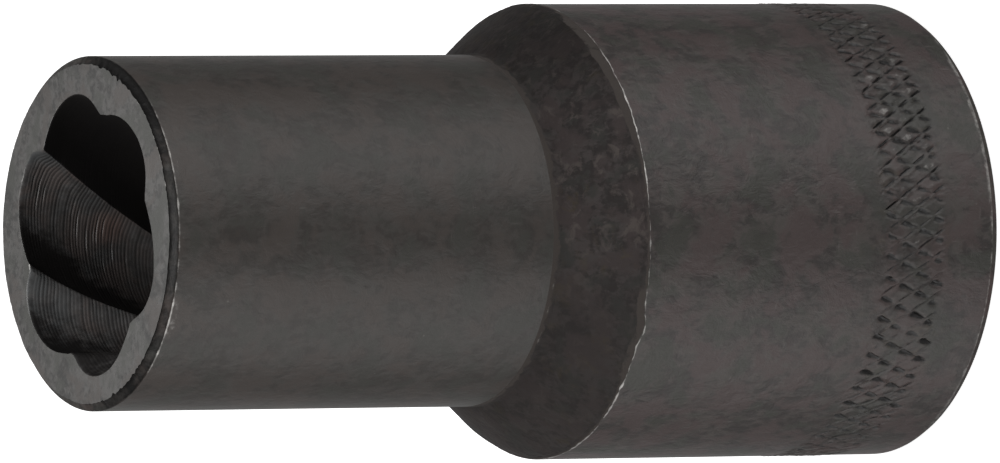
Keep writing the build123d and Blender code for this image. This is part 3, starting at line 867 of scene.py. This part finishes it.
MATERIALS = [
    oxide("oxide_body", (0.0205, 0.0158, 0.0145, 1), (0.0440, 0.0360, 0.0322, 1), (0.0440, 0.0290, 0.0275, 1),
          (0.0265, 0.0256, 0.0203, 1), relief=3.4),
    oxide("oxide_face", (0.0125, 0.0119, 0.0112, 1), (0.0350, 0.0335, 0.0319, 1), (0.0290, 0.0252, 0.0230, 1),
          (0.0215, 0.0215, 0.0190, 1), rough=0.50, specks=0.5, marks=0.3, relief=3.0),
    oxide("forged_shoulder", (0.0290, 0.0255, 0.0248, 1), (0.0510, 0.0448, 0.0434, 1), (0.0462, 0.0378, 0.0368, 1),
          (0.0362, 0.0352, 0.0330, 1), rough=0.66, level=0.05, contrast=1.2, relief=3.0, marks=0.6, rust=0.35, scuff=0.62, tight=0.055,
          over=(0.0540, 0.0465, 0.0425, 1), over_noise=1.4, over_edge=0.12, lower=(0.0280, 0.0255, 0.0245, 1)),
    # the bore: its near-black second colour, led by the painted shade map, and its darkening further down the hole are
    # painted shade
    oxide("fluted_bore", (0.0270, 0.0255, 0.0248, 1), (0.0400, 0.0382, 0.0375, 1), (0.0420, 0.0350, 0.0325, 1),
          (0.0310, 0.0322, 0.0325, 1), rough=0.50, level=0.2, specks=0.0, marks=0.0, pit_dark=0.80, deep=0.78,
          over=(0.0082, 0.0074, 0.0072, 1), over_noise=0.8, stain_at=(0.0004, 0.0067, 0.0452)),
    # the mouth chamfer: its near-black second colour, led by the angle map round the mouth, is painted shade
    oxide("dark_edges", (0.0120, 0.0108, 0.0098, 1), (0.0250, 0.0225, 0.0205, 1), (0.0230, 0.0180, 0.0160, 1),
          (0.0160, 0.0158, 0.0142, 1), rough=0.60, level=0.12, marks=0.3, specks=0.3, relief=3.0,
          over=(0.0020, 0.0018, 0.0017, 1), over_noise=0.6),
    oxide("knurled_band", (0.0215, 0.0168, 0.0152, 1), (0.0420, 0.0340, 0.0308, 1), (0.0430, 0.0288, 0.0268, 1),
          (0.0265, 0.0252, 0.0212, 1), relief=3.0, pit_dark=0.92, rust=0.20, specks=0.6, pit_edge=2.6),
    oxide("drive_recess", (0.0190, 0.0172, 0.0160, 1), (0.0390, 0.0350, 0.0330, 1), (0.0380, 0.0300, 0.0270, 1),
          (0.0270, 0.0265, 0.0240, 1), rough=0.45, specks=0.4, relief=2.0),
    oxide("oxide_nose", (0.0208, 0.0168, 0.0142, 1), (0.0340, 0.0294, 0.0258, 1), (0.0352, 0.0272, 0.0230, 1),
          (0.0255, 0.0240, 0.0198, 1), contrast=0.6, relief=2.0, specks=0.6, marks=0.5),
]

body = make_object(build_extractor(), "extractor_socket_detail", MATERIALS)
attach(body, "root")
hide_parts("extractor_socket")

# ------------------------------------------------------------------ floor
floor_mesh = bpy.data.meshes.new("studio_floor")
S = 12.0
floor_mesh.from_pydata([(-S, -S, 0), (S, -S, 0), (S, S, 0), (-S, S, 0)], [], [(0, 1, 2, 3)])
floor = bpy.data.objects.new("studio_floor", floor_mesh)
bpy.context.scene.collection.objects.link(floor)
fm = bpy.data.materials.new("pale_floor")
N = Nodes(fm)
sh = N.add("ShaderNodeBsdfPrincipled")
sh.inputs["Base Color"].default_value = (0.86, 0.86, 0.86, 1)
sh.inputs["Roughness"].default_value = 0.9
sh.inputs["Emission Color"].default_value = (1, 1, 1, 1)
sh.inputs["Emission Strength"].default_value = 0.93
out = N.add("ShaderNodeOutputMaterial")
N.link(sh.outputs[0], out.inputs["Surface"])
floor_mesh.materials.append(fm)
floor.visible_glossy = False      # the satin steel reflects the studio's soft boxes, not the floor

# ------------------------------------------------------------------ camera: fitted to the photograph's outline
X0, Y0, D = -22.2033003, 0.2128944, 631.863574
IN_ = np.array([0.85505464, -0.00706415, 0.51848980])      # along the axis, into the mouth
NEAR = np.array([0.51849412, -0.00134807, -0.85508013])
UP = np.array([-0.00673938, -0.99997414, -0.00251005])
origin = np.array([X0, Y0, D]) + IN_ * LENGTH
R = np.stack([UP, -NEAR, -IN_], 1)
eye = -R.T @ origin * 0.001
cam_data = bpy.data.cameras.new("camera")
cam_data.lens = 425.07491
cam_data.sensor_width = 36.0
cam_data.sensor_fit = "HORIZONTAL"
cam_data.clip_start, cam_data.clip_end = 0.01, 60.0
camera = bpy.data.objects.new("camera", cam_data)
bpy.context.scene.collection.objects.link(camera)
axes = np.stack([R.T @ np.array([1.0, 0, 0]), R.T @ np.array([0, -1.0, 0]), R.T @ np.array([0, 0, -1.0])], 1)
mat = Matrix([list(axes[i]) + [eye[i]] for i in range(3)] + [[0, 0, 0, 1]])
camera.matrix_world = mat
bpy.context.scene.camera = camera

# ------------------------------------------------------------------ light
# brightness of the surroundings by direction: 0 is the camera's side of the object, 1 is behind it
# one list for the side towards +X, one for the other
WORLD_LOW = [(0.0, 0.05), (0.10, 0.56), (0.20, 1.40), (0.33, 1.30), (0.41, 0.90), (0.50, 0.50), (0.60, 0.12), (0.70, 0.14), (0.78, 0.20), (1.0, 0.50)]
WORLD_LOW_2 = [(0.0, 0.05), (0.10, 0.54), (0.20, 1.34), (0.32, 1.20), (0.42, 1.22), (0.51, 0.74), (0.60, 0.16), (0.70, 0.18), (0.78, 0.32), (1.0, 0.50)]
WORLD_HIGH = [(0.0, 0.30), (0.30, 0.28), (0.55, 0.20), (0.72, 0.14), (0.86, 0.50), (1.0, 0.66)]
WORLD_TOP = 0.25
# gain of the lower half against height, from straight down to the horizon
WORLD_GAIN = [(0.0, 0.25), (0.12, 0.35), (0.19, 0.80), (0.24, 1.0), (0.30, 1.25), (0.36, 1.6), (0.43, 1.7)]

world = bpy.data.worlds.new("studio")
bpy.context.scene.world = world
world.use_nodes = True
wt = world.node_tree
wt.nodes.clear()


def wmath(op, x, y=0.0):
    node = wt.nodes.new("ShaderNodeMath")
    node.operation = op
    for socket, value in zip(node.inputs, (x, y)):
        if hasattr(value, "is_output"):
            wt.links.new(value, socket)
        else:
            socket.default_value = value
    return node.outputs[0]


def wstep(value, lo_, hi_, a_=0.0, b_=1.0):
    node = wt.nodes.new("ShaderNodeMapRange")
    node.interpolation_type = "SMOOTHSTEP"
    wt.links.new(value, node.inputs["Value"])
    for key, v_ in (("From Min", lo_), ("From Max", hi_), ("To Min", a_), ("To Max", b_)):
        node.inputs[key].default_value = v_
    return node.outputs["Result"]


def wramp(value, stops):
    """Piecewise value against 0 to 1."""
    node = wt.nodes.new("ShaderNodeValToRGB")
    node.color_ramp.interpolation = "EASE"
    els = node.color_ramp.elements
    while len(els) < len(stops):
        els.new(0.5)
    for el, (pos, val) in zip(els, stops):
        el.position = pos
    for el, (pos, val) in zip(els, stops):
        el.color = (val / 2, val / 2, val / 2, 1)
    wt.links.new(value, node.inputs[0])
    return wmath("MULTIPLY", node.outputs[0], 2.0)


tc = wt.nodes.new("ShaderNodeTexCoord")
sep = wt.nodes.new("ShaderNodeSeparateXYZ")
wt.links.new(tc.outputs["Generated"], sep.inputs[0])
wx, wy, wz = sep.outputs
turned = wmath("ABSOLUTE", wmath("ARCTAN2", wx, wmath("MULTIPLY", wy, -1.0)))
turned = wmath("DIVIDE", turned, math.pi)        # 0 in front (-Y), 1 behind (+Y)
side = wstep(wx, -0.03, 0.03)
low = wmath("ADD", wmath("MULTIPLY", wramp(turned, WORLD_LOW), side), wmath("MULTIPLY", wramp(turned, WORLD_LOW_2), wmath("SUBTRACT", 1.0, side)))
high = wramp(turned, WORLD_HIGH)
top = wstep(wz, 0.55, 0.85)
high = wmath("ADD", wmath("MULTIPLY", high, wmath("SUBTRACT", 1.0, top)), wmath("MULTIPLY", top, WORLD_TOP))
height = wmath("MULTIPLY", wmath("ADD", wz, 1.0), 0.5)
low = wmath("MULTIPLY", low, wramp(height, WORLD_GAIN))
up = wstep(wz, -0.12, 0.02)
total = wmath("ADD", wmath("MULTIPLY", low, wmath("SUBTRACT", 1.0, up)), wmath("MULTIPLY", high, up))
band = wstep(wmath("ABSOLUTE", wmath("ADD", wz, 0.022)), 0.022, 0.030, 1.0, 0.0)      # white at the horizon
total = wmath("ADD", wmath("MULTIPLY", total, wmath("SUBTRACT", 1.0, band)), wmath("MULTIPLY", band, 1.02))
bg = wt.nodes.new("ShaderNodeBackground")
bg.inputs["Color"].default_value = (1, 1, 1, 1)
wt.links.new(total, bg.inputs["Strength"])
wo = wt.nodes.new("ShaderNodeOutputWorld")
wt.links.new(bg.outputs[0], wo.inputs["Surface"])


def area(name, azimuth, elevation, distance, size, power, size_y=None):
    """A soft box: azimuth from -Y towards +X, aimed at the middle of the object."""
    data = bpy.data.lights.new(name, "AREA")
    data.shape = "RECTANGLE"
    data.size = size
    data.size_y = size_y or size
    data.energy = power
    obj = bpy.data.objects.new(name, data)
    bpy.context.scene.collection.objects.link(obj)
    a, e = math.radians(azimuth), math.radians(elevation)
    place = Vector((math.sin(a) * math.cos(e), -math.cos(a) * math.cos(e), math.sin(e))) * distance
    obj.location = place + Vector((0, 0, 0.025))
    obj.rotation_mode = "QUATERNION"
    obj.rotation_quaternion = place.to_track_quat("Z", "Y")
    obj.visible_camera = False
    return obj


over_mouth = area("over_mouth", 0, 90, 0.06, 0.040, 0.085)
over_mouth.location = (-0.002, -0.006, 0.1105)
over_mouth.rotation_quaternion = (Vector((-0.002, -0.006, 0.1105)) - Vector((0, 0, 0.0505))).to_track_quat("Z", "Y")

bpy.context.scene.view_settings.view_transform = "Standard"
